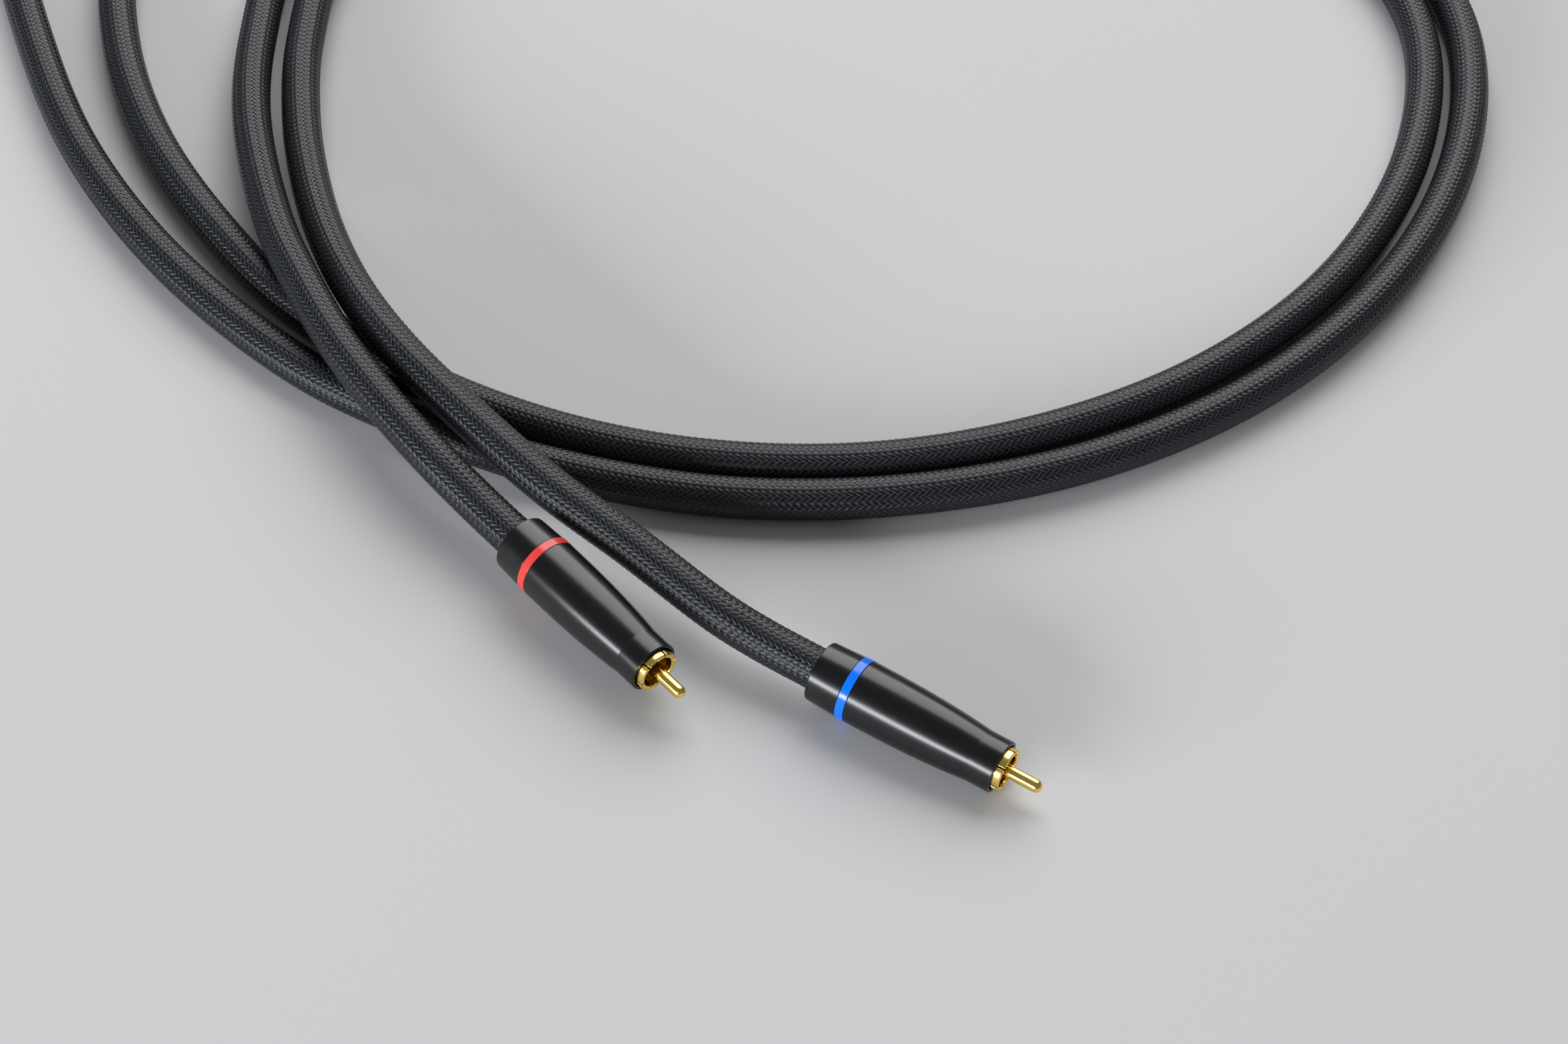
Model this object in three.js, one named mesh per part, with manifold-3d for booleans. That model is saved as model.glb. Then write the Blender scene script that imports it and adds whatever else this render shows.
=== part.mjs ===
// Stereo pair of phono leads: two thick braided cables, coiled side by side, each with a turned plug on
// both ends. Lengths are in millimetres, +Z is up and the leads lie on Z = 0.
import * as THREE from "three";
import { mergeVertices } from "three/addons/utils/BufferGeometryUtils.js";
import Module from "manifold-3d";

const wasm = await Module();
wasm.setup();

// Fits: the gap between two pieces that seat on each other, and the one round the cable.
const fit = 0.3;
const cableFit = 0.4;

// Cable: round braided jacket, then the insulated core and the bared conductor that reach into the plug.
const cableDiameter = 10.5;
const coreDiameter = 5.4;
const innerInsulationDiameter = 3.3;
const conductorDiameter = 1.1;
const straightAtPlug = 16;

// Stations along a plug, from the mouth of the rear collar towards the tip of the pin.
const collarLength = 8.4;
const spigotLength = 4.6;
const bandLength = 2.4;
const noseStart = 42.5;
const noseEnd = 48.7;
const shellRingEnd = 36;
const slitStart = 42;
const shellEnd = 50.5;
const pinTip = 59.2;
const insulatorStart = 30;
const insulatorEnd = 41;

// Lengths of the inner pieces: how far the jacket goes into the clamp, the clamp and the flange on it, and
// the solid stem between the solder cup and the insulator.
const jacketSeat = 1;
const clampLength = 10.4;
const clampFlange = 2.5;
const cupStem = 2;

// Walls and steps of the turned pieces, on one side of the axis.
const spigotWall = 0.8;
const bandWall = 1.2;
const bandStep = 0.05;
const collarStep = 0.1;
const collarTaper = 0.35;
const lipWall = 1.25;
const lipStep = 0.3;
const ringStep = 0.4;
const noseWall = 0.8;
const insulatorSeatWall = 1.4;

// Diameters: the rear of a plug is built up from the cable, and its front from the mouth of the shell.
const spigotDiameter = cableDiameter + 2 * (cableFit + spigotWall);
const bandDiameter = spigotDiameter + 2 * (fit + bandWall);
const barrelRearDiameter = bandDiameter - 2 * bandStep;
const collarFrontDiameter = barrelRearDiameter - 2 * collarStep;
const collarRearDiameter = collarFrontDiameter - 2 * collarTaper;
const shellMouthDiameter = 8.3;
const shellReliefDiameter = shellMouthDiameter + 2 * lipStep;
const shellDiameter = shellMouthDiameter + 2 * lipWall;
const shellRingDiameter = shellDiameter + 2 * ringStep;
const noseDiameter = shellDiameter + 2 * (fit + noseWall);
const insulatorDiameter = shellDiameter - 2 * (insulatorSeatWall + fit);
const pinDiameter = 3.2;
const pinShankDiameter = 2.2;

// Small features.
const collarRounding = 0.35;
const edgeBevel = 0.2;
const mouthBevel = 0.5;
const shellBevel = 0.35;
const taperPower = 2.6;
const petalSlits = 6;
const slitWidth = 0.45;
const slitOverrun = 1;
const slitTurn = 37;
const lipLength = 1.4;
const insulatorLedge = 0.8;
const cupDepth = 3.2;
const cupWall = 0.35;

// Numbers of facets and steps, and how close two vertices are when they are one.
const outerFacets = 24;
const innerFacets = 16;
const taperSteps = 5;
const cordSides = 10;
const stepsPerCord = 48;
const mergeDistance = 1e-4;

// How each plug lies: where the mouth of its collar is, which way its pin points and by how many degrees its
// nose dips, and how far it is held above the surface.
const plugs = {
  right_near: { x: -14.2, y: -151.1, heading: -46, dip: 2.2, lift: 3.6, band: "red" },
  left_near: { x: 58.4, y: -183.7, heading: -30, dip: 2.7, lift: 0, band: "blue" },
  right_far: { x: -107.6, y: 193.4, heading: 18, dip: 1.9, lift: 0, band: "red" },
  left_far: { x: -11.6, y: 187.4, heading: 8, dip: 1.9, lift: 0, band: "blue" },
};

// The free run of each cable, from its near plug round the coil to its far plug.
const rightRun = [
  [-36.5, -128.5, 15.2], [-51.5, -110.5, 16.4], [-65, -91, 16.6], [-76.5, -70, 16.4], [-86, -48.5, 14.6],
  [-98.5, -3.5, 9.9], [-102, 32, 7.4], [-99.5, 72.5, 5.7], [-79.5, 115.5, 5.4], [-42, 150.5, 5.3],
  [8, 173, 5.3], [65.5, 181, 5.3], [122.5, 173, 5.3], [173, 150.5, 5.3], [210.5, 115.5, 5.5],
  [230, 72.5, 6], [232.5, 37, 6.2], [223, -5.5, 6], [200.5, -48, 5.8], [167.5, -83.5, 5.7],
  [126.5, -109.5, 5.7], [80.5, -124, 5.6], [32, -127.5, 5.5], [-15.5, -118.5, 5.3], [-44.5, -106.5, 5.3],
  [-73.5, -90.5, 5.3], [-112, -56, 5.3], [-142.5, -14.5, 5.3], [-164, 32, 5.4], [-178.5, 76, 5.6],
  [-183, 119, 6], [-173, 157.5, 6.7], [-151, 179, 7.7],
];
const leftRun = [
  [34, -169.5, 11.5], [12.5, -152.5, 14.3], [-7.5, -137, 16.2], [-29, -115.5, 16.6], [-47.7, -94.5, 16.6],
  [-61.3, -74.5, 15.7], [-72, -51.5, 13.1], [-79.6, -28, 10.5], [-85.7, -0.5, 8.3], [-89, 32, 6.9],
  [-86, 73, 5.6], [-68, 110.5, 5.3], [-33.5, 141, 5.3], [12.5, 161, 5.3], [65.5, 168, 5.3],
  [118, 161, 5.3], [164.5, 141, 5.3], [199, 110.5, 5.5], [217, 73, 5.9], [220.5, 42, 6.1],
  [211.5, -1, 6], [188.5, -44, 5.8], [154, -78.5, 5.7], [111.5, -102.5, 5.7], [64.5, -115, 5.7],
  [15.5, -114, 5.5], [-31, -99.5, 5.3], [-77.5, -69.5, 5.3], [-103, -41, 5.3], [-125.5, -6, 5.3],
  [-139.5, 30.5, 5.4], [-145.5, 70, 5.6], [-137.5, 109, 5.8], [-111.5, 144.5, 6.2], [-72.5, 170, 7.1],
];

const finishes = {
  black: { color: 0x101114, roughness: 0.32, metalness: 0.75 },
  red: { color: 0xd8433c, roughness: 0.5, metalness: 0.1 },
  blue: { color: 0x1478e0, roughness: 0.5, metalness: 0.1 },
  gold: { color: 0xd9a441, roughness: 0.22, metalness: 1 },
  plastic: { color: 0xe6e0d0, roughness: 0.55, metalness: 0 },
  brass: { color: 0xb08d45, roughness: 0.35, metalness: 1 },
  rubber: { color: 0x2a2a2c, roughness: 0.7, metalness: 0 },
  braid: { color: 0x1c1d20, roughness: 0.6, metalness: 0 },
};

function named(name, geometry, finish) {
  const mesh = new THREE.Mesh(geometry, new THREE.MeshStandardMaterial(finishes[finish]));
  mesh.name = name;
  return mesh;
}

// A piece turned about the plug's axis, from [station, radius] points that run round its section.
function turned(section, facets) {
  const outline = section.map(([station, radius]) => new THREE.Vector2(radius, station));
  const closed = outline[0].x > 0 ? [...outline, outline[0].clone()] : outline;
  return new THREE.LatheGeometry(closed, facets).rotateZ(-Math.PI / 2).rotateX(Math.PI);
}

function solidOf(geometry) {
  const bare = geometry.clone();
  bare.deleteAttribute("normal");
  bare.deleteAttribute("uv");
  const merged = mergeVertices(bare, mergeDistance);
  const vertProperties = new Float32Array(merged.attributes.position.array);
  const triVerts = new Uint32Array(merged.index.array);
  return new wasm.Manifold(new wasm.Mesh({ numProp: 3, vertProperties, triVerts }));
}

function geometryOf(solid) {
  const mesh = solid.getMesh();
  const geometry = new THREE.BufferGeometry();
  geometry.setAttribute("position", new THREE.BufferAttribute(mesh.vertProperties, 3));
  geometry.setIndex(new THREE.BufferAttribute(mesh.triVerts, 1));
  return geometry;
}

// Stations and bores that several pieces share.
const barrelStart = collarLength + bandLength;
const clampStart = collarLength + spigotLength + fit;
const clampFlangeEnd = clampStart + clampFlange;
const clampEnd = clampStart + clampLength;
const shellStart = clampEnd + fit;
const jacketEnd = clampStart + jacketSeat;
const cupStart = insulatorStart - cupStem - cupDepth;
const jacketBore = cableDiameter / 2 + cableFit;
const threadBore = spigotDiameter / 2 + fit;
const cavityBore = shellRingDiameter / 2 + fit;
const noseBore = shellDiameter / 2 + fit;

// Rear collar: a rounded ring with the mouth for the cable, and a spigot that screws into the barrel.
function rearCollar() {
  const rear = collarRearDiameter / 2;
  const front = collarFrontDiameter / 2;
  const spigot = spigotDiameter / 2;
  const rounding = [0, 45, 90].map((angle) => {
    const turn = THREE.MathUtils.degToRad(angle);
    const inward = collarRounding * (1 - Math.sin(turn));
    return [collarRounding * (1 - Math.cos(turn)), rear - inward];
  });
  return turned([
    [mouthBevel, jacketBore],
    [0, jacketBore + mouthBevel],
    ...rounding,
    [collarLength, front],
    [collarLength, spigot],
    [collarLength + spigotLength, spigot],
    [collarLength + spigotLength, jacketBore],
  ], outerFacets);
}

// Colour ring: it sits on the spigot, between the collar and the barrel.
function colourRing() {
  const inner = spigotDiameter / 2 + fit;
  const outer = bandDiameter / 2;
  const back = collarLength + fit;
  const front = barrelStart - fit;
  return turned([
    [back, inner],
    [back, outer - edgeBevel],
    [back + edgeBevel, outer],
    [front - edgeBevel, outer],
    [front, outer - edgeBevel],
    [front, inner],
  ], outerFacets);
}

// Outside of the barrel: straight behind the band, then it curves in to the start of the plain nose.
function barrelRadius(station) {
  const along = (station - barrelStart) / (noseStart - barrelStart);
  const drop = (barrelRearDiameter - noseDiameter) / 2;
  return barrelRearDiameter / 2 - drop * along ** taperPower;
}

function barrelOutline() {
  const outline = [[barrelStart + edgeBevel, barrelRadius(barrelStart + edgeBevel)]];
  for (let step = 1; step <= taperSteps; step++) {
    const station = barrelStart + ((noseStart - barrelStart) * step) / taperSteps;
    outline.push([station, barrelRadius(station)]);
  }
  outline.push([noseEnd - edgeBevel, noseDiameter / 2]);
  return outline;
}

// Barrel: the tapered shell with its plain nose, bored for the spigot, the clamp and the ground shell.
function barrel() {
  const flangeSeat = clampFlangeEnd + fit;
  const ringSeat = shellRingEnd + fit;
  return turned([
    [barrelStart, threadBore],
    [barrelStart, barrelRearDiameter / 2 - edgeBevel],
    ...barrelOutline(),
    [noseEnd, noseDiameter / 2 - edgeBevel],
    [noseEnd, noseBore],
    [ringSeat, noseBore],
    [ringSeat, cavityBore],
    [flangeSeat, cavityBore],
    [flangeSeat, threadBore],
  ], outerFacets);
}

// Cable clamp: a flanged sleeve; the jacket ends in its counterbore and the core runs on through it.
function cableClamp() {
  const coreBore = coreDiameter / 2 + fit;
  const sleeve = shellRingDiameter / 2 - fit;
  return turned([
    [jacketEnd + fit, jacketBore],
    [clampStart, jacketBore],
    [clampStart, threadBore - fit],
    [clampFlangeEnd, threadBore - fit],
    [clampFlangeEnd, sleeve],
    [clampEnd, sleeve],
    [clampEnd, coreBore],
    [jacketEnd + fit, coreBore],
  ], innerFacets);
}

// Ground shell: a bored sleeve with a locating ring, slit at its front into spring petals with a lip.
function groundShell() {
  const outer = shellDiameter / 2;
  const ring = shellRingDiameter / 2;
  const rearBore = insulatorDiameter / 2 - insulatorLedge;
  const insulatorBore = insulatorDiameter / 2 + fit;
  const relief = shellReliefDiameter / 2;
  const lip = shellMouthDiameter / 2;
  const lipStart = shellEnd - lipLength;
  const sleeve = solidOf(turned([
    [shellStart, rearBore],
    [shellStart, ring],
    [shellRingEnd, ring],
    [shellRingEnd, outer],
    [shellEnd - shellBevel, outer],
    [shellEnd, outer - shellBevel],
    [shellEnd, lip + mouthBevel / 2],
    [shellEnd - mouthBevel, lip],
    [lipStart, lip],
    [lipStart - mouthBevel, relief],
    [insulatorEnd, relief],
    [insulatorEnd, insulatorBore],
    [insulatorStart - fit, insulatorBore],
    [insulatorStart - fit, rearBore],
  ], outerFacets));
  let shell = sleeve;
  for (let cut = 0; cut < petalSlits / 2; cut++) {
    const end = shellEnd + slitOverrun;
    const slit = new THREE.BoxGeometry(end - slitStart, slitWidth, shellDiameter + slitOverrun);
    slit.translate((end + slitStart) / 2, 0, 0);
    slit.rotateX(THREE.MathUtils.degToRad(slitTurn + (360 / petalSlits) * cut));
    shell = shell.subtract(solidOf(slit));
  }
  return geometryOf(shell);
}

// Insulator: the plastic bush that carries the pin in the ground shell.
function insulator() {
  const outer = insulatorDiameter / 2;
  const bore = pinShankDiameter / 2 + fit;
  return turned([
    [insulatorStart, bore],
    [insulatorStart, outer],
    [insulatorEnd, outer],
    [insulatorEnd, bore],
  ], innerFacets);
}

// Centre pin: the contact with its domed tip, a shank through the insulator and a solder cup behind it.
function centrePin() {
  const radius = pinDiameter / 2;
  const shank = pinShankDiameter / 2;
  const cup = conductorDiameter / 2 + fit;
  const dome = [0, 30, 60].map((angle) => {
    const turn = THREE.MathUtils.degToRad(angle);
    return [pinTip - radius + radius * Math.sin(turn), radius * Math.cos(turn)];
  });
  return turned([
    [cupStart + cupDepth, 0],
    [cupStart + cupDepth, cup],
    [cupStart, cup],
    [cupStart, cup + cupWall],
    [insulatorStart - fit, cup + cupWall],
    [insulatorStart - fit, shank],
    [insulatorEnd + fit, shank],
    [insulatorEnd + fit, radius],
    ...dome,
    [pinTip, 0],
  ], innerFacets);
}

// Core: the insulated core from the end of the jacket, and its bared conductor in the solder cup.
function core() {
  const insulated = coreDiameter / 2;
  const inner = innerInsulationDiameter / 2;
  const bared = conductorDiameter / 2;
  const insulationEnd = cupStart - fit;
  return turned([
    [jacketEnd + fit, 0],
    [jacketEnd + fit, insulated],
    [shellStart - fit, insulated],
    [shellStart - fit, inner],
    [insulationEnd, inner],
    [insulationEnd, bared],
    [cupStart + cupDepth - fit, bared],
    [cupStart + cupDepth - fit, 0],
  ], innerFacets / 2);
}

// The height of the collar's mouth over the surface when the lowest point of the plug has the given lift.
function mouthHeight(dip, lift) {
  const bandEdge = [barrelStart - fit - edgeBevel, bandDiameter / 2];
  const reaches = [bandEdge, ...barrelOutline()].map(
    ([station, radius]) => radius * Math.cos(dip) + station * Math.sin(dip),
  );
  return Math.max(...reaches) + lift;
}

function makePlug(name, place) {
  const plug = new THREE.Group();
  plug.add(
    named(`${name}_barrel`, barrel(), "black"),
    named(`${name}_rear_collar`, rearCollar(), "black"),
    named(`${name}_colour_ring`, colourRing(), place.band),
    named(`${name}_ground_shell`, groundShell(), "gold"),
    named(`${name}_centre_pin`, centrePin(), "gold"),
    named(`${name}_insulator`, insulator(), "plastic"),
    named(`${name}_cable_clamp`, cableClamp(), "brass"),
    named(`${name}_core`, core(), "rubber"),
  );
  const dip = THREE.MathUtils.degToRad(place.dip);
  plug.position.set(place.x, place.y, mouthHeight(dip, place.lift));
  plug.rotation.set(0, dip, THREE.MathUtils.degToRad(place.heading), "ZYX");
  plug.updateMatrixWorld(true);
  return plug;
}

// The braided cable: straight into both plugs, and along its run between them.
function makeCord(name, nearPlug, run, farPlug) {
  const onAxis = (plug, station) => plug.localToWorld(new THREE.Vector3(station, 0, 0));
  const points = [
    ...[jacketEnd, 0, -straightAtPlug].map((station) => onAxis(nearPlug, station)),
    ...run.map((point) => new THREE.Vector3(...point)),
    ...[-straightAtPlug, 0, jacketEnd].map((station) => onAxis(farPlug, station)),
  ];
  const section = new THREE.Shape();
  for (let side = 0; side < cordSides; side++) {
    const turn = (2 * Math.PI * side) / cordSides;
    const corner = [Math.cos(turn), Math.sin(turn)].map((share) => (share * cableDiameter) / 2);
    if (side === 0) section.moveTo(...corner);
    else section.lineTo(...corner);
  }
  section.closePath();
  const extrudePath = new THREE.CatmullRomCurve3(points);
  const tube = new THREE.ExtrudeGeometry(section, { steps: stepsPerCord, extrudePath });
  return named(name, tube, "braid");
}

const leads = new THREE.Group();
const placed = {};
for (const [name, place] of Object.entries(plugs)) {
  placed[name] = makePlug(name, place);
  leads.add(placed[name]);
}
leads.add(
  makeCord("right_lead_cord", placed.right_near, rightRun, placed.right_far),
  makeCord("left_lead_cord", placed.left_near, leftRun, placed.left_far),
);

export default leads;
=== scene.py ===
# Stereo pair of phono leads: two thick braided cables, coiled side by side, each with a turned plug on
# both ends. Every length is in metres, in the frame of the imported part, unless a name says mm.
import math

import bmesh
import bpy
import numpy as np
from mathutils import Matrix, Vector


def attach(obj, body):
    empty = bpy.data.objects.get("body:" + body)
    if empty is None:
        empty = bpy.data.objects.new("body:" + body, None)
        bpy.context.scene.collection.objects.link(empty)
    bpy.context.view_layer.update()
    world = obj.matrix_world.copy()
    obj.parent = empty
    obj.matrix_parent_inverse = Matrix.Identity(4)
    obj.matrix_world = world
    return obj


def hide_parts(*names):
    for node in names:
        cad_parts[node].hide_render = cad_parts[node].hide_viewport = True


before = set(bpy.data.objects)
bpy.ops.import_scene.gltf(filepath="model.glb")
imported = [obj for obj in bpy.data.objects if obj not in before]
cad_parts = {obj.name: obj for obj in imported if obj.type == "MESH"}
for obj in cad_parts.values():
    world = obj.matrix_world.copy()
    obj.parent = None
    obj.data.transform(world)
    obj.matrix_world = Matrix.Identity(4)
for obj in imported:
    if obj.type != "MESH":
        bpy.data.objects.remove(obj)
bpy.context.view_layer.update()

MM = 0.001

# Cable
JACKET_END_MM = 14.3
STRAIGHT_AT_PLUG_MM = 16.0
LINER_RADIUS = 0.0047
STRANDS_EACH_WAY = 24
STEP_BETWEEN_CROSSINGS = 0.00088
STRAND_WIDTH = 0.00102
OVER_RADIUS = 0.00524
UNDER_RADIUS = 0.00488
EDGE_DROP = 0.00016
FILAMENTS = 4

# The free run of each cable, from its near plug round the coil to its far plug.
RIGHT_RUN = [
    (-0.0365, -0.1285, 0.0152), (-0.0515, -0.1105, 0.0164), (-0.065, -0.091, 0.0166),
    (-0.0765, -0.07, 0.0164), (-0.086, -0.0485, 0.0146), (-0.0985, -0.0035, 0.0099),
    (-0.102, 0.032, 0.0074), (-0.0995, 0.0725, 0.0057), (-0.0795, 0.1155, 0.0054),
    (-0.042, 0.1505, 0.0053), (0.008, 0.173, 0.0053), (0.0655, 0.181, 0.0053),
    (0.1225, 0.173, 0.0053), (0.173, 0.1505, 0.0053), (0.2105, 0.1155, 0.0055),
    (0.23, 0.0725, 0.006), (0.2325, 0.037, 0.0062), (0.223, -0.0055, 0.006),
    (0.2005, -0.048, 0.0058), (0.1675, -0.0835, 0.0057), (0.1265, -0.1095, 0.0057),
    (0.0805, -0.124, 0.0056), (0.032, -0.1275, 0.0055), (-0.0155, -0.1185, 0.0053),
    (-0.0445, -0.1065, 0.0053), (-0.0735, -0.0905, 0.0053), (-0.112, -0.056, 0.0053),
    (-0.1425, -0.0145, 0.0053), (-0.164, 0.032, 0.0054), (-0.1785, 0.076, 0.0056),
    (-0.183, 0.119, 0.006), (-0.173, 0.1575, 0.0067), (-0.151, 0.179, 0.0077),
]
LEFT_RUN = [
    (0.034, -0.1695, 0.0115), (0.0125, -0.1525, 0.0143), (-0.0075, -0.137, 0.0162),
    (-0.029, -0.1155, 0.0166), (-0.0477, -0.0945, 0.0166), (-0.0613, -0.0745, 0.0157),
    (-0.072, -0.0515, 0.0131), (-0.0796, -0.028, 0.0105), (-0.0857, -0.0005, 0.0083),
    (-0.089, 0.032, 0.0069), (-0.086, 0.073, 0.0056), (-0.068, 0.1105, 0.0053),
    (-0.0335, 0.141, 0.0053), (0.0125, 0.161, 0.0053), (0.0655, 0.168, 0.0053),
    (0.118, 0.161, 0.0053), (0.1645, 0.141, 0.0053), (0.199, 0.1105, 0.0055),
    (0.217, 0.073, 0.0059), (0.2205, 0.042, 0.0061), (0.2115, -0.001, 0.006),
    (0.1885, -0.044, 0.0058), (0.154, -0.0785, 0.0057), (0.1115, -0.1025, 0.0057),
    (0.0645, -0.115, 0.0057), (0.0155, -0.114, 0.0055), (-0.031, -0.0995, 0.0053),
    (-0.0775, -0.0695, 0.0053), (-0.103, -0.041, 0.0053), (-0.1255, -0.006, 0.0053),
    (-0.1395, 0.0305, 0.0054), (-0.1455, 0.07, 0.0056), (-0.1375, 0.109, 0.0058),
    (-0.1115, 0.1445, 0.0062), (-0.0725, 0.17, 0.0071),
]

LEADS = {"right": (RIGHT_RUN, "band_red"), "left": (LEFT_RUN, "band_blue")}

# Stations along a plug, in millimetres from the mouth of its rear collar towards the tip of its pin.
COLLAR_END = 8.4
BAND_END = 10.8
SPIGOT_END = 13.0
FLANGE_SEAT = 16.1
NOSE_START = 42.5
NOSE_END = 48.7
SHELL_START = 24.0
RING_END = 36.0
PETAL_START = 42.0
SHELL_END = 50.5
PIN_TIP = 59.2
INSULATOR_START = 30.0
INSULATOR_END = 41.0
CUP_START = 24.8
CUP_END = 28.0

# Radii of the turned pieces, in millimetres.
CABLE_BORE = 5.65
COLLAR_REAR = 7.45
COLLAR_FRONT = 7.8
BAND = 7.95
BARREL_REAR = 7.9
NOSE = 6.5
NOSE_BORE = 5.7
CAVITY_BORE = 6.1
SPIGOT = 6.45
SHELL = 5.4
SHELL_RING = 5.8
SHELL_MOUTH = 4.15
SHELL_RELIEF = 4.45
INSULATOR = 3.7
PIN = 1.6
PIN_SHANK = 1.1
FIT = 0.3
GROOVE = 0.1
INSULATOR_LEDGE = 0.8
LIP_LENGTH = 1.4
LIP_SLOPE = 0.5
CUP = 1.2
CUP_BORE = 0.85

TAPER_POWER = 2.6
PETALS = 6
SLIT_WIDTH = 0.45
SLIT_TURN = 37

TURNING_STEPS = 128
MERGE_MM = 1e-4

# The place that the lamps face.
LIT_PLACE = (0.04, -0.15, 0)


# The camera of the photograph, in the part's frame.
CAMERA_PLACE = Vector((0.0484, -0.6801, 0.6229))
CAMERA_DEPRESSION = math.radians(48.56)
CAMERA_ROLL = math.radians(2.43)
CAMERA_LENS = 77.8
SENSOR_WIDTH = 36


def make_camera():
    camera = bpy.data.objects.new("camera", bpy.data.cameras.new("camera"))
    camera.data.lens = CAMERA_LENS
    camera.data.sensor_width = SENSOR_WIDTH
    camera.data.clip_start = 0.01
    camera.data.clip_end = 20
    level = Vector((1, 0, 0))
    upright = Vector((0, math.sin(CAMERA_DEPRESSION), math.cos(CAMERA_DEPRESSION)))
    right = level * math.cos(CAMERA_ROLL) + upright * math.sin(CAMERA_ROLL)
    up = upright * math.cos(CAMERA_ROLL) - level * math.sin(CAMERA_ROLL)
    turned = Matrix((right, up, right.cross(up))).transposed()
    camera.matrix_world = Matrix.Translation(CAMERA_PLACE) @ turned.to_4x4()
    bpy.context.scene.collection.objects.link(camera)
    bpy.context.scene.camera = camera


class Value:
    """A number or colour that a material's nodes work out. Operators on it add nodes."""

    def __init__(self, graph, socket):
        self.graph = graph
        self.socket = socket

    def math(self, operation, *others):
        inputs = dict(enumerate([self, *others]))
        return self.graph.node("ShaderNodeMath", {"operation": operation}, inputs)

    def __add__(self, other):
        return self.math("ADD", other)

    def __sub__(self, other):
        return self.math("SUBTRACT", other)

    def __rsub__(self, other):
        return self.graph.node("ShaderNodeMath", {"operation": "SUBTRACT"}, {0: other, 1: self})

    def __mul__(self, other):
        return self.math("MULTIPLY", other)

    __radd__ = __add__
    __rmul__ = __mul__


class Graph:
    """The node tree of one material, with its Principled shader."""

    def __init__(self, name):
        self.material = bpy.data.materials.new(name)
        self.material.use_nodes = True
        self.tree = self.material.node_tree
        self.shader = self.tree.nodes["Principled BSDF"]

    def node(self, kind, settings=None, inputs=None, output=0):
        made = self.tree.nodes.new(kind)
        for name, value in (settings or {}).items():
            setattr(made, name, value)
        for name, value in (inputs or {}).items():
            self.feed(made.inputs[name], value)
        return Value(self, made.outputs[output])

    def feed(self, socket, value):
        if isinstance(value, Value):
            self.tree.links.new(value.socket, socket)
        else:
            socket.default_value = value

    def attribute(self, name):
        return self.node("ShaderNodeAttribute", {"attribute_name": name}, output="Fac")

    def noise(self, scale, detail=2.0, place=None):
        place = place or self.node("ShaderNodeTexCoord", output="Object")
        inputs = {"Vector": place, "Scale": scale, "Detail": detail}
        return self.node("ShaderNodeTexNoise", None, inputs, "Fac")

    def mix(self, share, one, other):
        return self.node(
            "ShaderNodeMix", {"data_type": "RGBA"}, {"Factor": share, "A": one, "B": other}, "Result"
        )

    def finish(self, bump=None, strength=0.5, distance=0.0001, **sockets):
        for name, value in sockets.items():
            self.feed(self.shader.inputs[name.replace("_", " ")], value)
        if bump is not None:
            normal = self.node(
                "ShaderNodeBump", None, {"Height": bump, "Strength": strength, "Distance": distance}
            )
            self.feed(self.shader.inputs["Normal"], normal)
        return self.material


def colour(red, green, blue):
    """A shader colour from the 0 to 255 values of a screen colour."""
    parts = [value / 255 for value in (red, green, blue)]
    return (*(p / 12.92 if p <= 0.04045 else ((p + 0.055) / 1.055) ** 2.4 for p in parts), 1)


def black_anodised():
    """Satin black aluminium with the fine rings that the turning tool leaves."""
    graph = Graph("black_anodised")
    station = graph.attribute("station")
    rings = graph.node(
        "ShaderNodeTexNoise", {"noise_dimensions": "1D"}, {"W": station * 5.5, "Scale": 1, "Detail": 3}
    )
    cloud = graph.noise(260)
    return graph.finish(
        bump=rings,
        strength=0.08,
        distance=0.00004,
        Base_Color=graph.mix(cloud, colour(6, 6, 8), colour(12, 13, 15)),
        Roughness=cloud * 0.06 + rings * 0.1 + 0.16,
    )


def band_paint(name, face, shade):
    """Smooth coloured plastic band."""
    graph = Graph(name)
    cloud = graph.noise(500)
    return graph.finish(
        bump=cloud,
        strength=0.03,
        Base_Color=graph.mix(cloud, face, shade),
        Roughness=cloud * 0.08 + 0.14,
    )


def gold_plate():
    """Bright gold plating over a finely turned surface."""
    graph = Graph("gold_plating")
    station = graph.attribute("station")
    rings = graph.node(
        "ShaderNodeTexNoise", {"noise_dimensions": "1D"}, {"W": station * 9, "Scale": 1, "Detail": 2}
    )
    cloud = graph.noise(420)
    return graph.finish(
        bump=rings,
        strength=0.10,
        distance=0.00004,
        Base_Color=graph.mix(cloud, colour(255, 224, 132), colour(250, 210, 108)),
        Roughness=cloud * 0.08 + 0.14,
        Metallic=1.0,
    )


def plain_plastic(name, face, shade, roughness):
    graph = Graph(name)
    cloud = graph.noise(380, 4)
    return graph.finish(
        bump=cloud,
        strength=0.15,
        Base_Color=graph.mix(cloud, face, shade),
        Roughness=cloud * 0.15 + roughness,
    )


def turned_brass():
    graph = Graph("plain_brass")
    cloud = graph.noise(300, 4)
    return graph.finish(
        Base_Color=graph.mix(cloud, colour(190, 150, 80), colour(150, 112, 52)),
        Roughness=cloud * 0.2 + 0.25,
        Metallic=1.0,
    )


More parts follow.
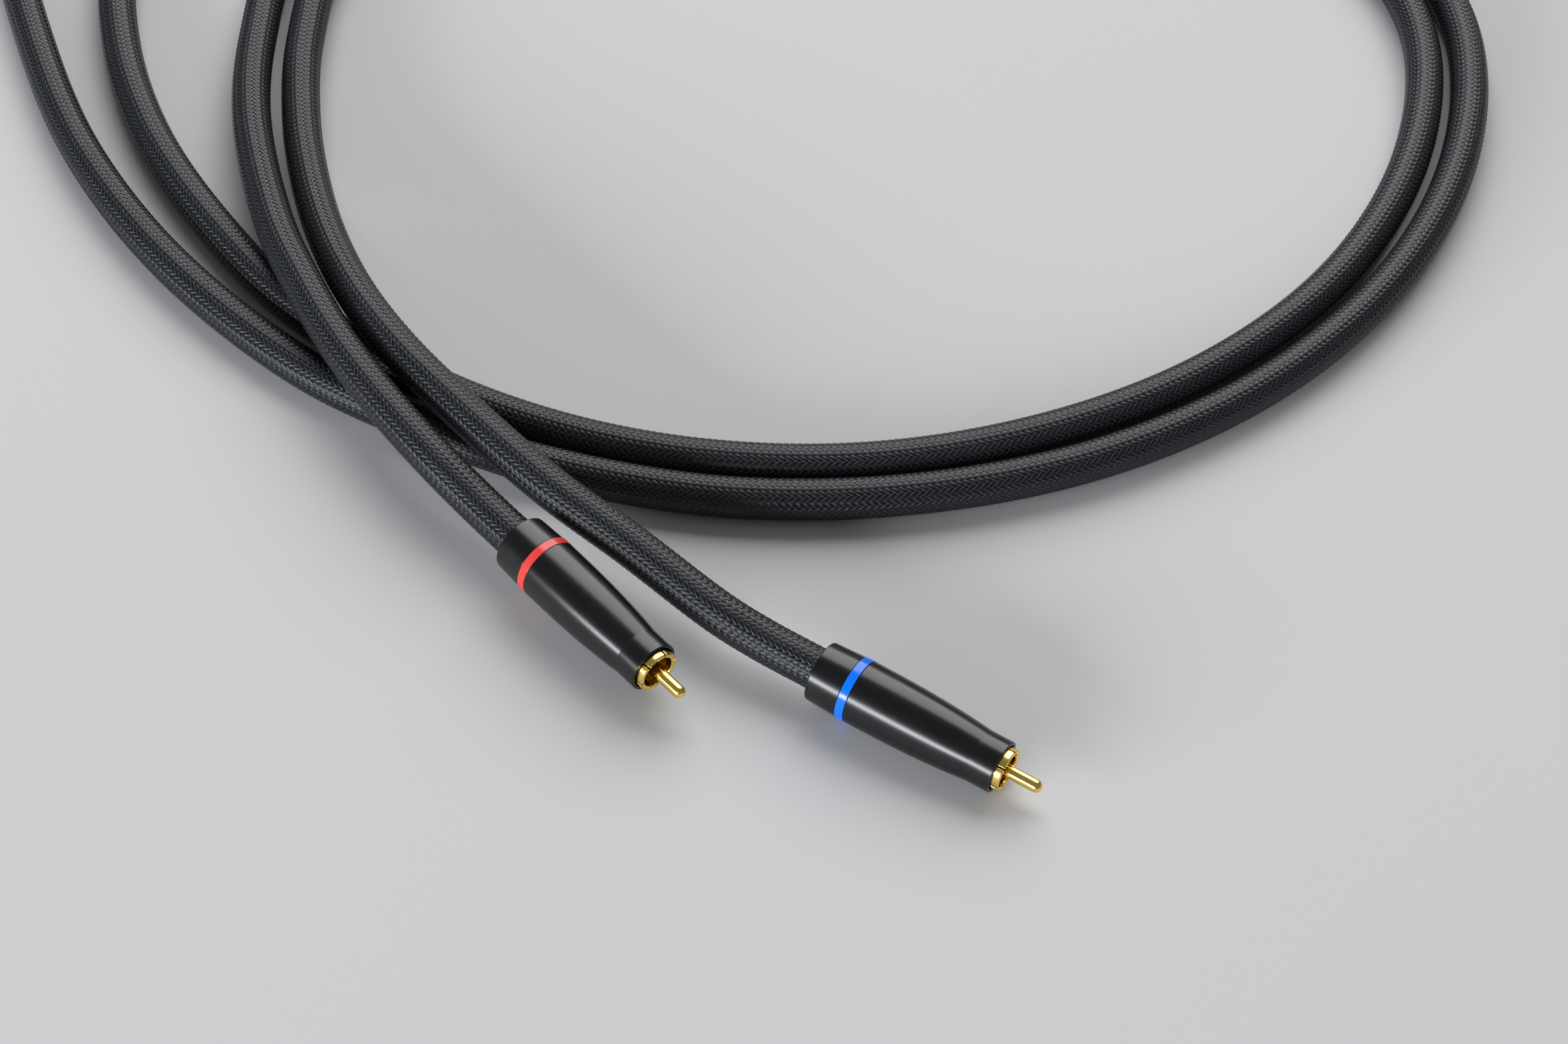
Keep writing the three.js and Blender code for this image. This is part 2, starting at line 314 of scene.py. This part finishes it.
def braid_strand():
    """Glossy black yarn: each strand is a flat bundle of parallel filaments with its own random tone, with
    a painted sheen on the filament crests and painted highlight lines along its edges.
    """
    graph = Graph("braid_strand")
    across = graph.attribute("across")
    along = graph.attribute("along")
    shade = graph.attribute("shade")
    filaments = (across * (math.pi * FILAMENTS)).math("SINE").math("ABSOLUTE")
    fibre_place = graph.node(
        "ShaderNodeCombineXYZ", None, {"X": across * 14, "Y": along * 1.1, "Z": shade * 60}
    )
    fibres = graph.noise(1, 2, fibre_place)
    # Painted sheen: the filament crests are painted paler than the dark valleys between them, and a noise
    # breaks this sheen up.
    crest_sheen_breakup = graph.noise(160, 3)
    dark = graph.mix(shade, colour(7, 8, 9), colour(15, 16, 18))
    pale = graph.mix(fibres, dark, colour(32, 35, 40))
    body = graph.mix(filaments * crest_sheen_breakup, dark, pale)
    # Painted highlight: pale lines along both edges of every strand, streaked by the fibre noise.
    edge = graph.node(
        "ShaderNodeMapRange", None, {"Value": across.math("ABSOLUTE"), "From Min": 0.37, "From Max": 0.45}
    )
    return graph.finish(
        bump=filaments + fibres * 0.3,
        strength=0.45,
        distance=0.00004,
        Base_Color=graph.mix(edge * fibres, body, colour(106, 110, 118)),
        Roughness=fibres * 0.12 - filaments * 0.15 + 0.3,
        Specular_IOR_Level=0.33,
    )


def braid_gap():
    """What shows between the strands."""
    graph = Graph("braid_gap")
    cloud = graph.noise(900)
    return graph.finish(
        Base_Color=graph.mix(cloud, colour(8, 8, 9), colour(16, 16, 18)), Roughness=cloud * 0.1 + 0.7
    )


def add_object(name, data, material):
    piece = bpy.data.objects.new(name, data)
    bpy.context.scene.collection.objects.link(piece)
    data.materials.append(material)
    return piece


def spline_point(corners, share):
    """The centripetal Catmull-Rom curve between the middle two of four points."""
    knots = [0.0]
    for one, other in zip(corners, corners[1:]):
        knots.append(knots[-1] + max(np.linalg.norm(other - one), 1e-9) ** 0.5)
    first, second, third = np.diff(knots)
    p0, p1, p2, p3 = corners
    leave = (p1 - p0) / first - (p2 - p0) / (first + second) + (p2 - p1) / second
    arrive = (p2 - p1) / second - (p3 - p1) / (second + third) + (p3 - p2) / third
    leave, arrive = leave * second, arrive * second
    s = share[:, None]
    square = -3 * p1 + 3 * p2 - 2 * leave - arrive
    cube = 2 * p1 - 2 * p2 + leave + arrive
    return p1 + s * leave + s**2 * square + s**3 * cube


def smooth_line(points, spacing):
    """Points at an even spacing along the curve through a cord's chosen points."""
    points = np.array(points, float)
    padded = np.concatenate([[2 * points[0] - points[1]], points, [2 * points[-1] - points[-2]]])
    share = np.linspace(0, 1, 200, endpoint=False)
    dense = [spline_point(padded[i:i + 4], share) for i in range(len(points) - 1)]
    dense = np.concatenate([*dense, points[-1:]])
    run = np.concatenate([[0], np.cumsum(np.linalg.norm(np.diff(dense, axis=0), axis=1))])
    places = np.linspace(0, run[-1], round(run[-1] / spacing) + 1)
    return np.stack([np.interp(places, run, dense[:, axis]) for axis in range(3)], axis=1)


class Line:
    """A cord's centreline with a frame that turns as little as possible along it."""

    def __init__(self, points):
        self.points = points
        along = np.gradient(points, axis=0)
        self.along = along / np.linalg.norm(along, axis=1)[:, None]
        side = np.cross(self.along[0], (0, 0, 1))
        sides = []
        for direction in self.along:
            side = side - direction * np.dot(side, direction)
            side = side / np.linalg.norm(side)
            sides.append(side)
        self.side = np.array(sides)
        self.up = np.cross(self.along, self.side)


def strand_grid(count, steps):
    """A mesh of separate strips, three vertices wide, one for each strand."""
    strip = bmesh.new()
    for _ in range(count):
        bmesh.ops.create_grid(strip, x_segments=2, y_segments=steps - 1, size=1)
    for face in strip.faces:
        face.smooth = True
    mesh = bpy.data.meshes.new("strands")
    strip.to_mesh(mesh)
    strip.free()
    return mesh


def wind_strands(name, line, way, material):
    """All strands that wind one way. Each passes over two crossing strands and under the next two."""
    steps = len(line.points)
    turn_per_step = math.pi / STRANDS_EACH_WAY
    strand, step = np.meshgrid(np.arange(STRANDS_EACH_WAY), np.arange(steps), indexing="ij")
    column = (2 * strand + way * step) % 4
    over = column < 2 if way > 0 else column >= 2
    middle = np.where(over, OVER_RADIUS, UNDER_RADIUS)
    turn = 2 * turn_per_step * strand + way * turn_per_step * step
    slope = math.atan2(OVER_RADIUS * turn_per_step, STEP_BETWEEN_CROSSINGS)
    across = np.array([-0.5, 0, 0.5])
    sideways = across * STRAND_WIDTH
    ahead = -way * math.sin(slope) * sideways
    angle = turn[..., None] + math.cos(slope) * sideways / OVER_RADIUS
    radius = middle[..., None] - EDGE_DROP * (2 * abs(across)) ** 2
    out = (
        np.cos(angle)[..., None] * line.side[None, :, None]
        + np.sin(angle)[..., None] * line.up[None, :, None]
    )
    forward = line.along[None, :, None] * ahead[None, None, :, None]
    places = line.points[None, :, None] + forward + out * radius[..., None]
    mesh = strand_grid(STRANDS_EACH_WAY, steps)
    mesh.vertices.foreach_set("co", places.astype(np.float32).ravel())
    shades = np.random.default_rng(11 + way).random(STRANDS_EACH_WAY)
    shape = angle.shape
    attributes = {
        "across": np.broadcast_to(across, shape),
        "along": np.broadcast_to(step[..., None] * STEP_BETWEEN_CROSSINGS / MM, shape),
        "shade": np.broadcast_to(shades[:, None, None], shape),
    }
    for key, values in attributes.items():
        store = mesh.attributes.new(key, "FLOAT", "POINT")
        store.data.foreach_set("value", values.astype(np.float32).ravel())
    mesh.update()
    return add_object(name, mesh, material)


def make_liner(name, line, material):
    """The dark tube under the strands, as a curve along the cord's own line."""
    curve = bpy.data.curves.new(name, "CURVE")
    curve.dimensions = "3D"
    curve.bevel_depth = LINER_RADIUS
    curve.bevel_resolution = 6
    curve.use_fill_caps = True
    spline = curve.splines.new("POLY")
    places = line.points[::4]
    spline.points.add(len(places) - 1)
    spline.points.foreach_set("co", np.column_stack([places, np.ones(len(places))]).ravel())
    return add_object(name, curve, material)


def node_corners(node):
    """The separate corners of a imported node's mesh."""
    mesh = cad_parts[node].data
    corners = np.empty(len(mesh.vertices) * 3)
    mesh.vertices.foreach_get("co", corners)
    return np.unique(corners.reshape(-1, 3).round(6), axis=0)


def plug_place(plug):
    """Where a plug lies, from its packed collar and pin: +X of the result runs from mouth to pin."""
    collar = node_corners(f"{plug}_rear_collar")
    pin = node_corners(f"{plug}_centre_pin")
    axis = Vector(pin.mean(axis=0) - collar.mean(axis=0)).normalized()
    centre = Vector(collar.mean(axis=0))
    mouth = centre + axis * ((collar - np.array(centre)) @ np.array(axis)).min()
    side = Vector((0, 0, 1)).cross(axis).normalized()
    turned = Matrix((axis, side, axis.cross(side))).transposed()
    return Matrix.Translation(mouth) @ turned.to_4x4()


def on_axis(place, station_mm):
    return tuple(place @ Vector((station_mm * MM, 0, 0)))


def turned_form(section, sweep=2 * math.pi, steps=TURNING_STEPS):
    """A form turned about X from [station, radius, rounding] corners in millimetres."""
    form = bmesh.new()
    corners = [form.verts.new((station, 0, radius)) for station, radius, *_ in section]
    edges = [form.edges.new(pair) for pair in zip(corners, corners[1:] + corners[:1])]
    bmesh.ops.spin(
        form, geom=corners + edges, axis=(1, 0, 0), cent=(0, 0, 0), angle=sweep, steps=steps,
        use_merge=sweep == 2 * math.pi, use_duplicate=False,
    )
    bmesh.ops.remove_doubles(form, verts=form.verts, dist=MERGE_MM)
    return form


def on_corner(vert, station, radius):
    return abs(vert.co.x - station) < 1e-3 and abs(math.hypot(vert.co.y, vert.co.z) - radius) < 1e-3


def round_corners(form, section):
    """Rounds each turned corner whose section gives it a rounding."""
    for station, radius, *rounding in section:
        if rounding:
            edges = [
                edge for edge in form.edges
                if all(on_corner(vert, station, radius) for vert in edge.verts)
            ]
            bmesh.ops.bevel(
                form, geom=edges, offset=rounding[0], offset_type="OFFSET", affect="EDGES",
                segments=3, profile=0.5, material=-1,
            )


def finish_form(name, form, place, material):
    """Puts a form drawn in millimetres along +X where its plug lies, crisp where a barrel's nose starts."""
    bmesh.ops.remove_doubles(form, verts=form.verts, dist=MERGE_MM)
    bmesh.ops.recalc_face_normals(form, faces=form.faces)
    station = form.verts.layers.float.new("station")
    for vert in form.verts:
        vert[station] = vert.co.x
    for face in form.faces:
        face.smooth = True
    for edge in form.edges:
        edge.smooth = not all(on_corner(vert, NOSE_START, NOSE) for vert in edge.verts)
    bmesh.ops.transform(form, matrix=place @ Matrix.Scale(MM, 4), verts=form.verts)
    mesh = bpy.data.meshes.new(name)
    form.to_mesh(mesh)
    form.free()
    piece = add_object(name, mesh, material)
    weighted = piece.modifiers.new("weighted_normals", "WEIGHTED_NORMAL")
    weighted.keep_sharp = True
    return piece


def turned_piece(section):
    form = turned_form(section)
    round_corners(form, section)
    return form


def barrel_radius(station):
    along = (station - BAND_END) / (NOSE_START - BAND_END)
    return BARREL_REAR - (BARREL_REAR - NOSE) * along**TAPER_POWER


def barrel_section():
    taper = [(station, barrel_radius(station)) for station in np.linspace(BAND_END, NOSE_START, 17)[1:]]
    return [
        (BAND_END, SPIGOT + FIT),
        (BAND_END, BARREL_REAR, 0.12),
        *taper,
        (NOSE_END, NOSE, 0.22),
        (NOSE_END, NOSE_BORE, 0.2),
        (RING_END + FIT, NOSE_BORE),
        (RING_END + FIT, CAVITY_BORE),
        (FLANGE_SEAT, CAVITY_BORE),
        (FLANGE_SEAT, SPIGOT + FIT),
    ]


def collar_section():
    return [
        (0, CABLE_BORE, 0.5),
        (0, COLLAR_REAR, 0.35),
        (COLLAR_END, COLLAR_FRONT, 0.12),
        (COLLAR_END, SPIGOT),
        (SPIGOT_END, SPIGOT),
        (SPIGOT_END, CABLE_BORE),
    ]


def ring_section():
    return [
        (COLLAR_END + GROOVE, SPIGOT + FIT),
        (COLLAR_END + GROOVE, BAND, 0.1),
        (BAND_END - GROOVE, BAND, 0.1),
        (BAND_END - GROOVE, SPIGOT + FIT),
    ]


def sleeve_section():
    return [
        (SHELL_START, INSULATOR - INSULATOR_LEDGE),
        (SHELL_START, SHELL_RING, 0.2),
        (RING_END, SHELL_RING, 0.2),
        (RING_END, SHELL),
        (PETAL_START, SHELL),
        (PETAL_START, SHELL_RELIEF),
        (INSULATOR_END, SHELL_RELIEF),
        (INSULATOR_END, INSULATOR + FIT),
        (INSULATOR_START - FIT, INSULATOR + FIT),
        (INSULATOR_START - FIT, INSULATOR - INSULATOR_LEDGE),
    ]


def petal_section():
    return [
        (PETAL_START, SHELL),
        (SHELL_END, SHELL, 0.35),
        (SHELL_END, SHELL_MOUTH, 0.4),
        (SHELL_END - LIP_LENGTH, SHELL_MOUTH, 0.2),
        (SHELL_END - LIP_LENGTH - LIP_SLOPE, SHELL_RELIEF, 0.2),
        (PETAL_START, SHELL_RELIEF),
    ]


def pin_section():
    dome = [
        (PIN_TIP - PIN + PIN * math.sin(turn), PIN * math.cos(turn))
        for turn in np.radians(np.linspace(0, 80, 9))
    ]
    return [
        (CUP_END, 0),
        (CUP_END, CUP_BORE),
        (CUP_START, CUP_BORE),
        (CUP_START, CUP),
        (INSULATOR_START - FIT, CUP),
        (INSULATOR_START - FIT, PIN_SHANK),
        (INSULATOR_END + FIT, PIN_SHANK),
        (INSULATOR_END + FIT, PIN, 0.2),
        *dome,
        (PIN_TIP, 0),
    ]


def insulator_section():
    return [
        (INSULATOR_START, PIN_SHANK + FIT),
        (INSULATOR_START, INSULATOR, 0.2),
        (INSULATOR_END, INSULATOR, 0.3),
        (INSULATOR_END, PIN_SHANK + FIT),
    ]


def ground_shell():
    """The slotted shell: six spring petals with eased edges on the front of a turned sleeve."""
    section = petal_section()
    slit = 2 * math.asin(SLIT_WIDTH / 2 / SHELL)
    pitch = 2 * math.pi / PETALS
    petal = turned_form(section, sweep=pitch - slit, steps=16)
    round_corners(petal, section)
    bmesh.ops.holes_fill(petal, edges=[edge for edge in petal.edges if edge.is_boundary], sides=0)
    bmesh.ops.recalc_face_normals(petal, faces=petal.faces)
    side_edges = [edge for edge in petal.edges if edge.calc_face_angle(0) > math.radians(60)]
    bmesh.ops.bevel(
        petal, geom=side_edges, offset=0.12, offset_type="OFFSET", affect="EDGES", segments=2,
        profile=0.5, material=-1,
    )
    one = bpy.data.meshes.new("petal")
    petal.to_mesh(one)
    petal.free()
    one.transform(Matrix.Rotation(math.radians(SLIT_TURN) + slit / 2, 4, "X"))
    shell = turned_piece(sleeve_section())
    for _ in range(PETALS):
        shell.from_mesh(one)
        one.transform(Matrix.Rotation(pitch, 4, "X"))
    bpy.data.meshes.remove(one)
    return shell


def make_plug(plug, place, finishes, band):
    """The six turned pieces of one plug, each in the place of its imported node."""
    forms = {
        "barrel": ("anodised_black", turned_piece(barrel_section())),
        "rear_collar": ("anodised_black", turned_piece(collar_section())),
        "colour_ring": (band, turned_piece(ring_section())),
        "ground_shell": ("gold_plate", ground_shell()),
        "centre_pin": ("gold_plate", turned_piece(pin_section())),
        "insulator": ("pin_insulator", turned_piece(insulator_section())),
    }
    made = {}
    for kind, (slot, form) in forms.items():
        node = f"{plug}_{kind}"
        piece = finish_form(f"{node}_turned", form, place, finishes[slot])
        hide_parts(node)
        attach(piece, "root")
        made[kind] = piece
    for kind, slot in {"cable_clamp": "plain_brass", "core": "core_jacket"}.items():
        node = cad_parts[f"{plug}_{kind}"]
        node.data.materials.clear()
        node.data.materials.append(finishes[slot])
        made[kind] = node
    return made


def make_finishes():
    return {
        "anodised_black": black_anodised(),
        "band_red": band_paint("red_band", colour(222, 70, 64), colour(208, 58, 54)),
        "band_blue": band_paint("blue_band", colour(0, 116, 242), colour(0, 106, 230)),
        "gold_plate": gold_plate(),
        "pin_insulator": plain_plastic("pin_bush", colour(228, 220, 200), colour(208, 198, 176), 0.45),
        "plain_brass": turned_brass(),
        "core_jacket": plain_plastic("core_rubber", colour(44, 44, 46), colour(30, 30, 32), 0.6),
    }


def make_floor():
    floor_form = bmesh.new()
    bmesh.ops.create_grid(floor_form, x_segments=1, y_segments=1, size=9)
    mesh = bpy.data.meshes.new("floor")
    floor_form.to_mesh(mesh)
    floor_form.free()
    graph = Graph("pale_floor")
    material = graph.finish(Base_Color=colour(202, 202, 203), Roughness=1.0, Specular_IOR_Level=0.0)
    add_object("floor", mesh, material)


def area_light(name, direction, distance, size, radiance, shade=(1, 1, 1)):
    """A flat lamp that is seen from the plugs in a direction, and that glows evenly."""
    light = bpy.data.lights.new(name, "AREA")
    light.shape = "RECTANGLE"
    light.size, light.size_y = size
    light.energy = radiance * math.pi * light.size * light.size_y
    light.color = shade
    lamp = bpy.data.objects.new(name, light)
    away = Vector(direction).normalized()
    lamp.location = Vector(LIT_PLACE) + away * distance
    lamp.rotation_euler = away.to_track_quat("Z", "Y").to_euler()
    bpy.context.scene.collection.objects.link(lamp)


def make_light():
    world = bpy.data.worlds.new("studio")
    bpy.context.scene.world = world
    world.use_nodes = True
    backdrop = world.node_tree.nodes["Background"]
    backdrop.inputs["Color"].default_value = colour(240, 241, 243)
    backdrop.inputs["Strength"].default_value = 0.22
    area_light("softbox", direction=(0.1, 0.72, 0.69), distance=3.6, size=(3.6, 3.15), radiance=4.0)
    area_light(
        "side_strip", direction=(-0.68, -0.72, 0.23), distance=3.2, size=(3, 0.68), radiance=21,
        shade=(0.94, 0.97, 1),
    )


make_camera()
strand_finish = braid_strand()
gap_finish = braid_gap()
finishes = make_finishes()

for lead, (run, band) in LEADS.items():
    near, far = plug_place(f"{lead}_near"), plug_place(f"{lead}_far")
    route = [on_axis(near, station) for station in (JACKET_END_MM, 0, -STRAIGHT_AT_PLUG_MM)]
    route += run
    route += [on_axis(far, station) for station in (-STRAIGHT_AT_PLUG_MM, 0, JACKET_END_MM)]
    line = Line(smooth_line(route, STEP_BETWEEN_CROSSINGS))
    cord = make_liner(f"{lead}_cord_liner", line, gap_finish)
    strands = [
        wind_strands(f"{lead}_cord_strands_{word}", line, way, strand_finish)
        for word, way in (("clockwise", 1), ("anticlockwise", -1))
    ]
    for piece in (cord, *strands):
        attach(piece, "root")
    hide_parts(f"{lead}_lead_cord")
    make_plug(f"{lead}_near", near, finishes, band)
    far_plug = make_plug(f"{lead}_far", far, finishes, band)

make_floor()
make_light()
bpy.context.scene.view_settings.view_transform = "Standard"
